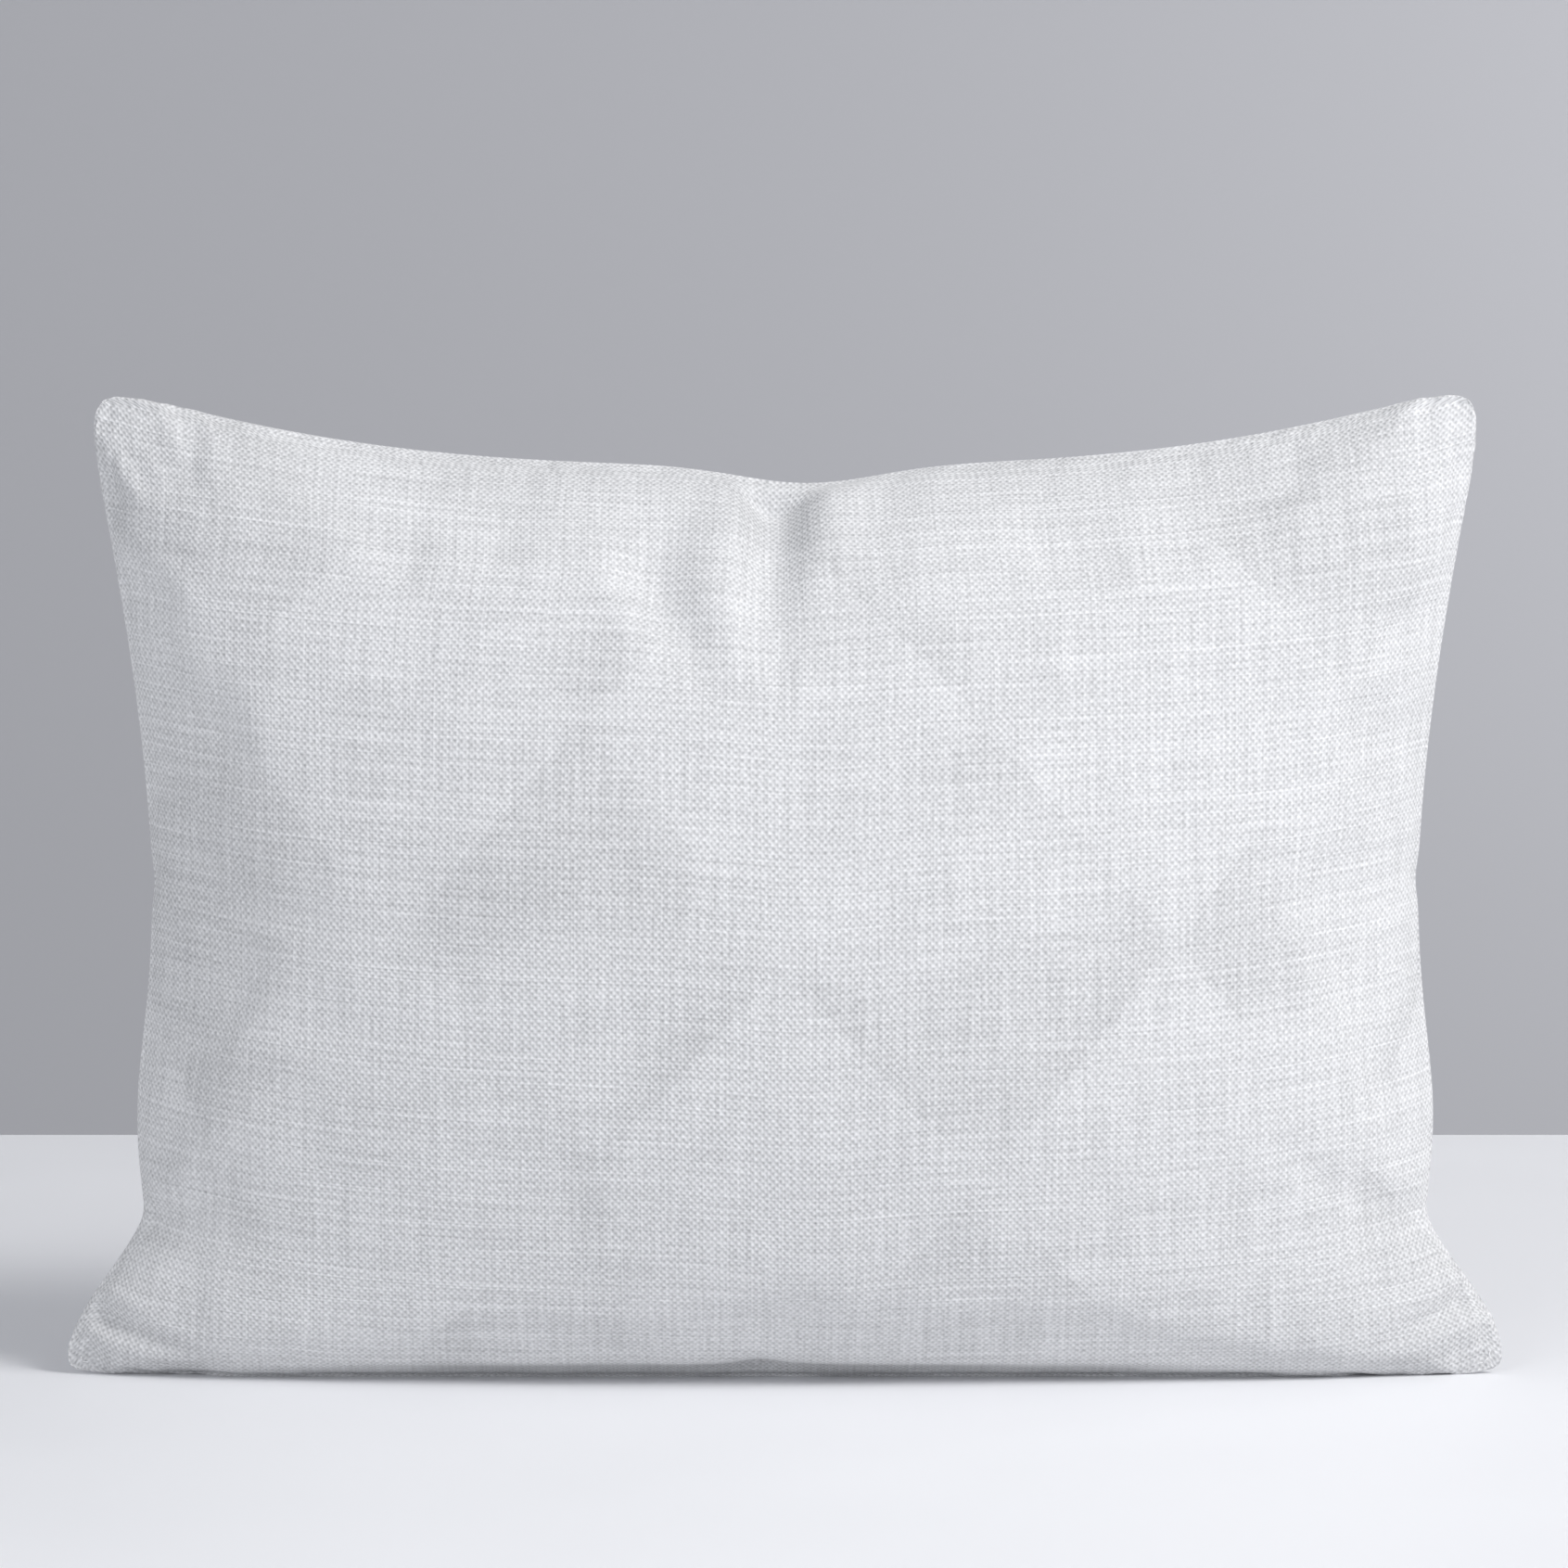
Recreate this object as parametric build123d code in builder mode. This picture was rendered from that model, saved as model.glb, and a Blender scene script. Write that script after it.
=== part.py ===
"""Lumbar-size bed pillow: a woven cover closed by a zip along its bottom seam, over a
fibre-filled insert. It stands on its long bottom edge, front face towards -Y.

Origin: on the surface the pillow stands on, under the middle of the seam. All sizes in mm.
"""

from build123d import *

import os
from math import cos, exp, pi, sin, sqrt

# ---- driving dimensions of the filled pillow -------------------------------------------------
HEIGHT = 355.0  # to where the ears' edges would meet, standing
EAR_TOP = 251.0  # half width across the top ears
EAR_BOTTOM = 255.0  # half width across the splayed bottom ears
WAIST = 223.5  # half width where the sides pull in most
BELLY = 6.0  # how far the settled filling pushes the sides back out, low down
TOP_DIP = 33.0  # how far the middle of the top edge hangs below the ears
SINK = 12.0  # how much of the round underside is pressed flat where it stands
CROWN = 71.0  # half thickness at the middle of the panels
FULLNESS = 0.6  # exponent of the crown: 0.5 is an ellipse, 1 is a flat lens
EAR_ROUNDING = 0.0015  # share of the crown that the seam line cuts off, which rounds the ears

# ---- cloth, thread and gaps ------------------------------------------------------------------
COVER_CLOTH = 0.8
INSERT_CLOTH = 0.3
GAP = 0.5  # between neighbouring layers
SEAM_ALLOWANCE = 10.0  # cloth turned inside along the cover's seam
INSERT_ALLOWANCE = 6.0
THREAD = 0.4
STITCH_INSET = 3.2  # stitching, in from the fold of its seam
INSERT_TUCK = 12.5  # insert's seam, in from the cover's
INSERT_FLOOR = 11.2  # the insert rests above the zip
CLOSING = (90.0, 230.0)  # slit in the insert's side seam that the filling was blown through

# ---- zip, a number 3 chain laid along X in a valley of the underside --------------------------
CHAIN_Z = 7.6  # height of the tapes' middle
TEETH = 140  # on each tape
TOOTH_PITCH = 2.5
TOOTH_WIDTH = 1.1
TOOTH_HEIGHT = 2.0
TOOTH_HEAD = 1.0  # how far a tooth reaches over the middle
TOOTH_ROOT = 2.6
TAPE_EDGE = 1.1  # the tapes' inner edges
TAPE_WIDTH = 9.3
TAPE_THICKNESS = 0.6
TAPE_HALF = 197.0  # half length of the tapes
STOP_SIZE = 2.5
STOP_CLEARANCE = 2.0  # between the closed slider and the top stops

VALLEY_HALF = 203.0  # half length of the valley between the folded hems
VALLEY_MOUTH = 6.4  # half width of the valley where it meets the surface
VALLEY_ROOF = 5.4  # half width of the valley at the folded edge
HEM_Z = 6.7
HEM_DEPTH = 9.6  # how far from the seam the hem's cloth runs back
HEM_STITCH = 8.0

# ---- slider and pull -------------------------------------------------------------------------
SLIDER_X = 173.0  # slider's middle when the zip is closed
SLIDER_LENGTH = 12.0
SLIDER_HALF_WIDTH = 4.2
WING = 1.3  # thickness of each wing
OUTER_WING_Z = 4.9
INNER_WING_Z = 9.0
FLANGE_WIDTH = 1.2
FLANGE_HEIGHT = 0.8
POST_X = 4.05  # middle of the post, ahead of the slider's middle
POST_LENGTH = 2.3
BRIDGE_HALF = 3.7
BRIDGE_FOOT = 1.0
BRIDGE_Z = 2.0
BRIDGE_WIDTH = 1.6
PULL_Z = 3.95  # height of the pull's cross bar
PULL_BAR = 0.7  # its radius
PULL_THICKNESS = 1.2
PULL_LENGTH = 24.0
PULL_WIDTH = 5.2
ARM_INSIDE = 1.2
ARM_OUTSIDE = 2.2
ARM_LENGTH = 6.0

# ---- labels ----------------------------------------------------------------------------------
LABEL_WIDTH = 28.0
LABEL_LENGTH = 8.0  # folded
RIBBON = 0.2
LABEL_ROOT = 1.5  # from the seam to the label's cut ends
CARE_LABEL_Z = 165.0
INSERT_LABEL_Z = 160.0


def half_width(v):
    """Half width of the seam outline at height v, from -1 at the bottom ears to 1 at the top."""
    if v >= 0:
        return WAIST + (EAR_TOP - WAIST) * v**1.7
    settled = BELLY * exp(-(((v + 0.45) / 0.25) ** 2))
    splay = min(1.0, max(0.0, (-v - 0.62) / 0.32))
    return WAIST + settled + (EAR_BOTTOM - WAIST - settled) * splay**2 * (3 - 2 * splay)


def seam_point(u, v, tuck):
    """Maps the square (u, v) to the plane of the seam, drawn in by tuck."""
    x = u * (half_width(v) - tuck)
    top = HEIGHT - TOP_DIP * (1 - min(1.0, abs(u)) ** 2.8) - tuck
    bottom = -SINK * (1 - min(1.0, abs(u)) ** 8) + tuck
    return x, top * (1 + v) / 2 + bottom * (1 - v) / 2


def outline(depth, crown, tuck, count=48):
    """Closed curve that bounds a filled shape of that crown at a depth in front of the seam.

    The crown falls off as ((1 - u^2)(1 - v^2))^FULLNESS, so each level is a rounded square
    in (u, v), solved for the radius in each direction. Points crowd towards the ears.
    """
    level = max(EAR_ROUNDING, (depth / crown) ** (1 / FULLNESS))
    points = []
    for step in range(count):
        turn = 2 * pi * step / count
        angle = turn + 0.2 * sin(4 * turn)
        cross = (sin(angle) * cos(angle)) ** 2
        square = 1 - level
        if cross > 1e-9:
            square = (1 - sqrt(max(0.0, 1 - 4 * cross * (1 - level)))) / (2 * cross)
        radius = sqrt(square)
        points.append(seam_point(radius * cos(angle), radius * sin(angle), tuck))
    return points


def add_outline(depth, crown, tuck):
    """Puts the closed curve in the current line, with even parameters for a light loft."""
    points = outline(depth, crown, tuck)
    even = [step / len(points) for step in range(len(points) + 1)]
    add(Edge.make_spline([Vector(*p) for p in points], periodic=True, parameters=even))


def filled_half(crown, tuck, floor_z):
    """Front half of a filled shape, from the seam plane out to the crown, flat underneath."""
    sections = []
    for level in (0.0, 0.1, 0.22, 0.37, 0.53, 0.69, 0.82, 0.92, 0.98):
        with BuildSketch(Plane.XZ.offset(level * crown)) as section:
            with BuildLine():
                add_outline(level * crown, crown, tuck)
            make_face()
        sections.append(section.sketch)
    with BuildPart() as half:
        loft(sections)
        split(bisect_by=Plane.XY.offset(floor_z), keep=Keep.TOP)
    return half.part


def seam_slab(tuck, depth, thickness, floor_z):
    """Flat slab inside the seam outline, drawn in by tuck, standing on floor_z."""
    with BuildPart() as slab:
        with BuildSketch(Plane.XZ.offset(depth)):
            with BuildLine():
                add_outline(0, CROWN, tuck)
            make_face()
        extrude(amount=thickness)
        split(bisect_by=Plane.XY.offset(floor_z), keep=Keep.TOP)
    return slab.part


def seam_ring(tuck, width, depth, thickness, floor_z):
    """Flat ring that follows the seam all round, also along the flattened underside."""
    outside = seam_slab(tuck, depth, thickness, floor_z)
    inside = seam_slab(tuck + width, depth, thickness, floor_z + width)
    with BuildPart() as ring:
        add(outside)
        add(inside, mode=Mode.SUBTRACT)
    return ring.part


def sewn_panel(crown, tuck, cloth, floor_z, allowance):
    """Front panel: a crowned skin, flat underneath, with its seam allowance turned in."""
    outer = filled_half(crown, tuck, floor_z)
    inner = filled_half(crown - cloth, tuck + cloth, floor_z + cloth)
    turned = seam_ring(tuck + cloth / 2, allowance, 0, cloth, floor_z + cloth / 2)
    with BuildPart() as skin:
        add(outer)
        add(inner, mode=Mode.SUBTRACT)
        add(turned)
    return skin.part


def lockstitch(tuck, cloth, floor_z):
    """Needle thread on the front layer of a seam and bobbin thread on its back layer."""
    run = seam_ring(tuck, THREAD, cloth, THREAD, floor_z)
    with BuildPart() as threads:
        add(run)
        mirror(about=Plane.XZ)
    return threads.part


os.makedirs("parts", exist_ok=True)

# ---- cover: two panels whose bottom edges turn up into hems beside the zip --------------------
with BuildPart() as cover_front_panel:
    add(sewn_panel(CROWN, 0, COVER_CLOTH, 0, SEAM_ALLOWANCE))
    with BuildSketch(Plane.XY):
        Rectangle(2 * VALLEY_HALF, 2 * VALLEY_MOUTH)
    extrude(amount=INSERT_FLOOR, mode=Mode.SUBTRACT)
    with BuildSketch(Plane.YZ.offset(-VALLEY_HALF)):
        with BuildLine():
            FilletPolyline(
                (-VALLEY_MOUTH - 1.2, COVER_CLOTH / 2),
                (-VALLEY_MOUTH, COVER_CLOTH / 2),
                (-VALLEY_ROOF, HEM_Z),
                (-HEM_DEPTH, HEM_Z),
                radius=0.6,
            )
        trace(line_width=COVER_CLOTH)
    extrude(amount=2 * VALLEY_HALF)
    for end in (-1, 1):
        with BuildSketch(Plane.YZ.offset(end * VALLEY_HALF)):
            with BuildLine():
                Polyline(
                    (-COVER_CLOTH / 2, COVER_CLOTH / 2),
                    (-VALLEY_MOUTH, COVER_CLOTH / 2),
                    (-VALLEY_ROOF, HEM_Z),
                    (-COVER_CLOTH / 2, HEM_Z),
                    close=True,
                )
            make_face()
        extrude(amount=COVER_CLOTH / 2, both=True)
cover_front_panel.part.label = "cover_front_panel"
export_step(cover_front_panel.part, "parts/cover_front_panel.step")

with BuildPart() as cover_back_panel:
    add(cover_front_panel.part)
    mirror(about=Plane.XZ, mode=Mode.REPLACE)
cover_back_panel.part.label = "cover_back_panel"
export_step(cover_back_panel.part, "parts/cover_back_panel.step")

with BuildPart() as cover_seam_stitching:
    add(lockstitch(STITCH_INSET, COVER_CLOTH, STITCH_INSET))
    with BuildSketch(Plane.XY):
        Rectangle(2 * (VALLEY_HALF + 1), 2 * VALLEY_MOUTH)
    extrude(amount=SEAM_ALLOWANCE, mode=Mode.SUBTRACT)
cover_seam_stitching.part.label = "cover_seam_stitching"
export_step(cover_seam_stitching.part, "parts/cover_seam_stitching.step")

# ---- insert: the same shape one layer in, with the slit its filling came through --------------
insert_crown = CROWN - COVER_CLOTH - GAP
with BuildPart() as insert_front_panel:
    add(sewn_panel(insert_crown, INSERT_TUCK, INSERT_CLOTH, INSERT_FLOOR, INSERT_ALLOWANCE))
insert_front_panel.part.label = "insert_front_panel"
export_step(insert_front_panel.part, "parts/insert_front_panel.step")

with BuildPart() as insert_back_panel:
    add(insert_front_panel.part)
    mirror(about=Plane.XZ, mode=Mode.REPLACE)
insert_back_panel.part.label = "insert_back_panel"
export_step(insert_back_panel.part, "parts/insert_back_panel.step")

insert_seam = lockstitch(INSERT_TUCK + STITCH_INSET, INSERT_CLOTH, INSERT_FLOOR + STITCH_INSET)
with BuildPart() as slit:
    with Locations((WAIST, 0, sum(CLOSING) / 2)):
        Box(WAIST, 4 * GAP, CLOSING[1] - CLOSING[0])
with BuildPart() as insert_seam_stitching:
    add(insert_seam)
    add(slit.part, mode=Mode.SUBTRACT)
insert_seam_stitching.part.label = "insert_seam_stitching"
export_step(insert_seam_stitching.part, "parts/insert_seam_stitching.step")

closing_seam = lockstitch(INSERT_TUCK + 1.5 * STITCH_INSET, INSERT_CLOTH, INSERT_FLOOR)
with BuildPart() as insert_closing_stitching:
    add(closing_seam)
    add(slit.part, mode=Mode.INTERSECT)
insert_closing_stitching.part.label = "insert_closing_stitching"
export_step(insert_closing_stitching.part, "parts/insert_closing_stitching.step")

# ---- filling, moulded round the turned-in allowance of the insert's seam ----------------------
fill_crown = insert_crown - INSERT_CLOTH - GAP
fill_tuck = INSERT_TUCK + INSERT_CLOTH + GAP
fill_half = filled_half(fill_crown, fill_tuck, INSERT_FLOOR + INSERT_CLOTH + GAP)
groove = seam_ring(INSERT_TUCK, INSERT_ALLOWANCE + 2 * GAP, 0, 2 * GAP, INSERT_FLOOR)
with BuildPart() as fibre_fill:
    add(fill_half)
    add(groove, mode=Mode.SUBTRACT)
    mirror(about=Plane.XZ)
fibre_fill.part.label = "fibre_fill"
export_step(fibre_fill.part, "parts/fibre_fill.step")

# ---- zip ---------------------------------------------------------------------------------------
with BuildPart() as zip_tape_front:
    with BuildSketch(Plane.XY.offset(CHAIN_Z - TAPE_THICKNESS / 2)):
        with Locations((0, -TAPE_EDGE - TAPE_WIDTH / 2)):
            Rectangle(2 * TAPE_HALF, TAPE_WIDTH)
    extrude(amount=TAPE_THICKNESS)
zip_tape_front.part.label = "zip_tape_front"
export_step(zip_tape_front.part, "parts/zip_tape_front.step")

with BuildPart() as zip_tape_back:
    add(zip_tape_front.part)
    mirror(about=Plane.XZ, mode=Mode.REPLACE)
zip_tape_back.part.label = "zip_tape_back"
export_step(zip_tape_back.part, "parts/zip_tape_back.step")

with BuildPart() as zip_teeth_front:
    with BuildSketch(Plane.XY.offset(CHAIN_Z - TOOTH_HEIGHT / 2)):
        with GridLocations(TOOTH_PITCH, 1, TEETH, 1):
            with Locations((0, (TOOTH_HEAD - TOOTH_ROOT) / 2)):
                Rectangle(TOOTH_WIDTH, TOOTH_HEAD + TOOTH_ROOT)
    extrude(amount=TOOTH_HEIGHT)
zip_teeth_front.part.label = "zip_teeth_front"
export_step(zip_teeth_front.part, "parts/zip_teeth_front.step")

with BuildPart() as zip_teeth_back:
    with Locations((TOOTH_PITCH / 2, 0, 0)):
        add(zip_teeth_front.part)
    mirror(about=Plane.XZ, mode=Mode.REPLACE)
zip_teeth_back.part.label = "zip_teeth_back"
export_step(zip_teeth_back.part, "parts/zip_teeth_back.step")

with BuildPart() as zip_stitching_front:
    for run_z in (HEM_Z - COVER_CLOTH / 2 - THREAD, CHAIN_Z + TAPE_THICKNESS / 2):
        with BuildSketch(Plane.XY.offset(run_z)):
            with Locations((0, -HEM_STITCH)):
                Rectangle(2 * (TAPE_HALF - STITCH_INSET), THREAD)
        extrude(amount=THREAD)
zip_stitching_front.part.label = "zip_stitching_front"
export_step(zip_stitching_front.part, "parts/zip_stitching_front.step")

with BuildPart() as zip_stitching_back:
    add(zip_stitching_front.part)
    mirror(about=Plane.XZ, mode=Mode.REPLACE)
zip_stitching_back.part.label = "zip_stitching_back"
export_step(zip_stitching_back.part, "parts/zip_stitching_back.step")

stop_x = SLIDER_X + SLIDER_LENGTH / 2 + STOP_CLEARANCE + STOP_SIZE / 2
with BuildPart() as zip_top_stops:
    with BuildSketch(Plane.XY.offset(CHAIN_Z - TOOTH_HEIGHT / 2)):
        for side in (-1, 1):
            with Locations((stop_x, side * (TAPE_EDGE + STOP_SIZE / 3))):
                RectangleRounded(STOP_SIZE, STOP_SIZE, 0.4)
    extrude(amount=TOOTH_HEIGHT)
zip_top_stops.part.label = "zip_top_stops"
export_step(zip_top_stops.part, "parts/zip_top_stops.step")

bottom_x = -(TEETH * TOOTH_PITCH + STOP_SIZE) / 2
with BuildPart() as zip_bottom_stop:
    with BuildSketch(Plane.XY.offset(CHAIN_Z - TOOTH_HEIGHT / 2)):
        with Locations((bottom_x, 0)):
            RectangleRounded(STOP_SIZE, 2 * TOOTH_ROOT, 0.4)
    extrude(amount=TOOTH_HEIGHT)
zip_bottom_stop.part.label = "zip_bottom_stop"
export_step(zip_bottom_stop.part, "parts/zip_bottom_stop.step")

with BuildPart() as zip_slider:
    with BuildSketch(Plane.XY.offset(OUTER_WING_Z), Plane.XY.offset(INNER_WING_Z)):
        with Locations((SLIDER_X, 0)):
            RectangleRounded(SLIDER_LENGTH, 2 * SLIDER_HALF_WIDTH, 1.5)
    extrude(amount=WING)
    flange_y = SLIDER_HALF_WIDTH - FLANGE_WIDTH / 2
    straight = SLIDER_LENGTH - 2 * 1.5
    with BuildSketch(
        Plane.XY.offset(OUTER_WING_Z + WING), Plane.XY.offset(INNER_WING_Z - FLANGE_HEIGHT)
    ):
        for side in (-1, 1):
            with Locations((SLIDER_X, side * flange_y)):
                Rectangle(straight, FLANGE_WIDTH)
    extrude(amount=FLANGE_HEIGHT)
    with BuildSketch(Plane.XY.offset(OUTER_WING_Z + WING)):
        with Locations((SLIDER_X + POST_X, 0)):
            RectangleRounded(POST_LENGTH, 2 * TOOTH_HEAD, 0.4)
    extrude(amount=INNER_WING_Z - OUTER_WING_Z - WING)
    with BuildSketch(Plane.XZ):
        with Locations((SLIDER_X, (BRIDGE_Z + OUTER_WING_Z) / 2)):
            RectangleRounded(2 * BRIDGE_HALF, OUTER_WING_Z - BRIDGE_Z, 0.5)
        with Locations((SLIDER_X, (BRIDGE_Z + BRIDGE_FOOT + OUTER_WING_Z) / 2)):
            Rectangle(
                2 * (BRIDGE_HALF - BRIDGE_FOOT),
                OUTER_WING_Z - BRIDGE_Z - BRIDGE_FOOT,
                mode=Mode.SUBTRACT,
            )
        for foot in (-1, 1):
            with Locations((SLIDER_X + foot * (BRIDGE_HALF - BRIDGE_FOOT / 2), OUTER_WING_Z)):
                Rectangle(BRIDGE_FOOT, BRIDGE_FOOT)
    extrude(amount=BRIDGE_WIDTH / 2, both=True)
zip_slider.part.label = "zip_slider"
export_step(zip_slider.part, "parts/zip_slider.step")

with BuildPart() as zip_pull:
    with BuildSketch(Plane.XZ):
        with Locations((SLIDER_X, PULL_Z)):
            Circle(PULL_BAR)
    extrude(amount=ARM_OUTSIDE, both=True)
    with BuildSketch(Plane.XY.offset(PULL_Z - PULL_THICKNESS / 2)):
        for side in (-1, 1):
            with Locations((SLIDER_X - ARM_LENGTH / 2, side * (ARM_INSIDE + ARM_OUTSIDE) / 2)):
                Rectangle(ARM_LENGTH, ARM_OUTSIDE - ARM_INSIDE)
        tab = PULL_LENGTH - ARM_LENGTH + 0.5
        with Locations((SLIDER_X - PULL_LENGTH + tab / 2, 0)):
            RectangleRounded(tab, PULL_WIDTH, 1.0)
        with Locations((SLIDER_X - PULL_LENGTH + tab / 2, 0)):
            SlotOverall(tab / 2, PULL_WIDTH / 2, mode=Mode.SUBTRACT)
    extrude(amount=PULL_THICKNESS)
zip_pull.part.label = "zip_pull"
export_step(zip_pull.part, "parts/zip_pull.step")

# ---- labels: ribbons folded double, each lying beside the cover's seam allowance --------------
label_y = COVER_CLOTH + THREAD + RIBBON / 2
with BuildPart() as care_label:
    with BuildSketch(Plane.XY.offset(CARE_LABEL_Z)):
        with Locations((-WAIST + LABEL_ROOT + LABEL_LENGTH / 2, label_y + 1.5 * RIBBON)):
            Rectangle(LABEL_LENGTH, 3 * RIBBON)
            with Locations((-RIBBON, 0)):
                Rectangle(LABEL_LENGTH, RIBBON, mode=Mode.SUBTRACT)
    extrude(amount=LABEL_WIDTH)
care_label.part.label = "care_label"
export_step(care_label.part, "parts/care_label.step")

with BuildPart() as insert_label:
    with BuildSketch(Plane.XY.offset(INSERT_LABEL_Z)):
        with Locations((WAIST + LABEL_ROOT - INSERT_TUCK + LABEL_LENGTH / 2, -label_y - 1.5 * RIBBON)):
            Rectangle(LABEL_LENGTH, 3 * RIBBON)
            with Locations((-RIBBON, 0)):
                Rectangle(LABEL_LENGTH, RIBBON, mode=Mode.SUBTRACT)
    extrude(amount=LABEL_WIDTH)
insert_label.part.label = "insert_label"
export_step(insert_label.part, "parts/insert_label.step")
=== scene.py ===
"""Bed pillow in a white slubby linen cover, standing on its long edge on a white table.

Both panels of the cover are grids of cloth. Each is laid over the filled shape, swollen and
settled by a cloth simulation with its seam held, and then gets its seam puckers and hem.
"""

import bpy
import numpy as np
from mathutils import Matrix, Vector, noise


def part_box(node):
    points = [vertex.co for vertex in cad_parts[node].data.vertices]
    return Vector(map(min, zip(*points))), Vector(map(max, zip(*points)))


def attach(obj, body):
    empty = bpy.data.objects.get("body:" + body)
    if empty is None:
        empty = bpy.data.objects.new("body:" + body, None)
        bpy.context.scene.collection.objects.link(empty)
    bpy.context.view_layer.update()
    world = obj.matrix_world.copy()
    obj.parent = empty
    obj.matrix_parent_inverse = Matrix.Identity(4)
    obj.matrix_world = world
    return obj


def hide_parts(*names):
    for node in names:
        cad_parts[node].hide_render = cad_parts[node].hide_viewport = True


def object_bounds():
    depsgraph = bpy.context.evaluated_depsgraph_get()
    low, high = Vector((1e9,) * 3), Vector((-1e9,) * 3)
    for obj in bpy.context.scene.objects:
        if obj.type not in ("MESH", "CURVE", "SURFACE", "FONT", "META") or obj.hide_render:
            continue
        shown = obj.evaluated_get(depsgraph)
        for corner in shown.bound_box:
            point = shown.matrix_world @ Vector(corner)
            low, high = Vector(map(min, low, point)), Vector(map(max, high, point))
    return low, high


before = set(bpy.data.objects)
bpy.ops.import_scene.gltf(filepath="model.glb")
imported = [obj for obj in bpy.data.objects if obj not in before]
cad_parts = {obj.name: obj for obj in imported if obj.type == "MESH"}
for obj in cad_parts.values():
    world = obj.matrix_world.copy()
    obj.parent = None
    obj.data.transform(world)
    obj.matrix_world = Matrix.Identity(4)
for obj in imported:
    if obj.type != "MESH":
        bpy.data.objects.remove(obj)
cad_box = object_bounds()

# ---- driving dimensions, in metres -----------------------------------------------------------
LOW, HIGH = (Vector(corner) for corner in cad_box)
HALF_LENGTH = (HIGH.x - LOW.x) / 2  # to the tips of the bottom ears
HEIGHT = HIGH.z - LOW.z
CROWN = (HIGH.y - LOW.y) / 2  # half thickness

# outline of the seam, whose v is -1 at the bottom and 1 at the top
EAR_TOP = 0.984 * HALF_LENGTH  # half width where the top ears' edges would meet
EAR_BOTTOM = 1.006 * HALF_LENGTH
WAIST = 0.881 * HALF_LENGTH
FLARE_CURVE = 1.7  # how late the sides flare out to the top ears
BELLY = 0.006  # how far the filling settles outwards, below the middle
BELLY_V = -0.45
BELLY_REACH = 0.25
SPLAY_V = -0.63  # the bottom ears splay out from here down
SPLAY_REACH = 0.36
SPLAY_CURVE = 1.15
SIDE_TUG = 0.0012  # the sides are drawn in by this, close above the middle
SIDE_TUG_V = 0.04
SIDE_TUG_REACH = 0.035
LOPSIDED = 0.0012  # the right side stands this much further out, and the left further in
TOP_CORNER = 1.014 * HEIGHT  # where the top ears' edges would meet
TOP_DIP = 0.033  # sag of the top edge between its ears
TOP_CURVE = 2.8
NOTCH = 0.0065  # the middle of the top edge is knocked in by this
NOTCH_X = 0.009
NOTCH_REACH = 0.034
SINK = 0.012  # the bottom seam would hang this far below the table
BOTTOM_CURVE = 8
FULLNESS = 0.6  # exponent of the crown's fall to the seam
EAR_CUT_TOP = 0.036  # share of the ears' corners that their rounding takes off
EAR_CUT_BOTTOM = 0.010

# underside
CONTACT_SOFTNESS = 0.0026  # radius with which the underside lifts off the table
UNDERSIDE_GAP = 0.0018  # how far the underside's outer edges clear the table
UNDERSIDE_ARCH = 0.0022  # and how much more in the middle
UNDERSIDE_ARCH_HALF = 0.20
RESTING_EARS = ((-0.245, 0.01), (0.17, -0.05))  # x from which each lies flat, length of the rise
OUTER_FROM = 0.008  # how far from the seam the underside's outer edges begin, in front and behind
OUTER_RISE = 0.010
KNOCK = 0.0036  # the kink in the front edge's middle
KNOCK_X = -0.0075
KNOCK_REACH = 0.009

# unevenness of the filling, and how far in from the seam folds and dents reach their full depth
LUMPS = ((0.0009, 0.055, 3.1), (0.0006, 0.025, 7.3))  # height, size, place in the noise
FOLD_MARGIN = 0.02
DENT_MARGIN = 0.045

# cloth
COLUMNS, ROWS = 160, 112  # cells of a panel's grid
SWELL_FRAMES = 16
SWELL_CAP = 0.0022  # no point moves further than this
SWELL_SLACK = 0.012  # how much longer the cloth is than the shape it is laid over
PUCKER = 0.0009  # height of the gathers along the seam
PUCKER_PITCH = 0.0055
PUCKER_LENGTH = 0.02
PUCKER_REACH = 0.009
PUCKER_FREE = 0.0008  # share of the panel next to the seam that puckers leave alone

# insert, filling and zip valley
INSERT_LOW = Vector(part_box("insert_front_panel")[0])
INSERT_TUCK = 0.0125  # insert's seam, in from the cover's
INSERT_CROWN = CROWN - 0.006
FILL_TUCK = INSERT_TUCK + 0.0012
FILL_CROWN = INSERT_CROWN - 0.0015
FILL_LIFT = 0.0005
TAPE_LOW, TAPE_HIGH = (Vector(corner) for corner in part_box("zip_tape_front"))
TAPE_END = 0.002  # the hems close over this length at the tapes' ends
VALLEY_HALF = TAPE_HIGH.x + 0.006
VALLEY_TAPER = 0.012
VALLEY_MOUTH = 0.0064
HEM_RISE = TAPE_LOW.z - 0.0003  # the hem lies just under the zip's tape
LABEL_SHIFT = 0.004  # the side is pinched in at the care label, so the label sits further in too

# stitching
STITCH_INSET = 0.0042
THREAD_LIFT = 0.001
SEAM_PITCH, SEAM_THREAD = 0.003, 0.00022
TAPE_PITCH, TAPE_THREAD = 0.0025, 0.00018
SEAM_ENDS_Z = 0.02  # the bottom seam is open along the valley, below this height
OPENING_X = 0.15  # the insert is filled through its right side, between these heights
OPENING_LOW, OPENING_HIGH = 0.09, 0.23
CLOSING_SHIFT = 0.0016  # the closing stitches run this much further in


# ---- shape -----------------------------------------------------------------------------------
def smoothstep(value):
    """Takes a value from 0 to 1 with level ends."""
    value = np.clip(value, 0, 1)
    return value**2 * (3 - 2 * value)


def bell(distance, reach):
    """1 at no distance, falling smoothly on both sides."""
    return np.exp(-((distance / reach) ** 2))


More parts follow.
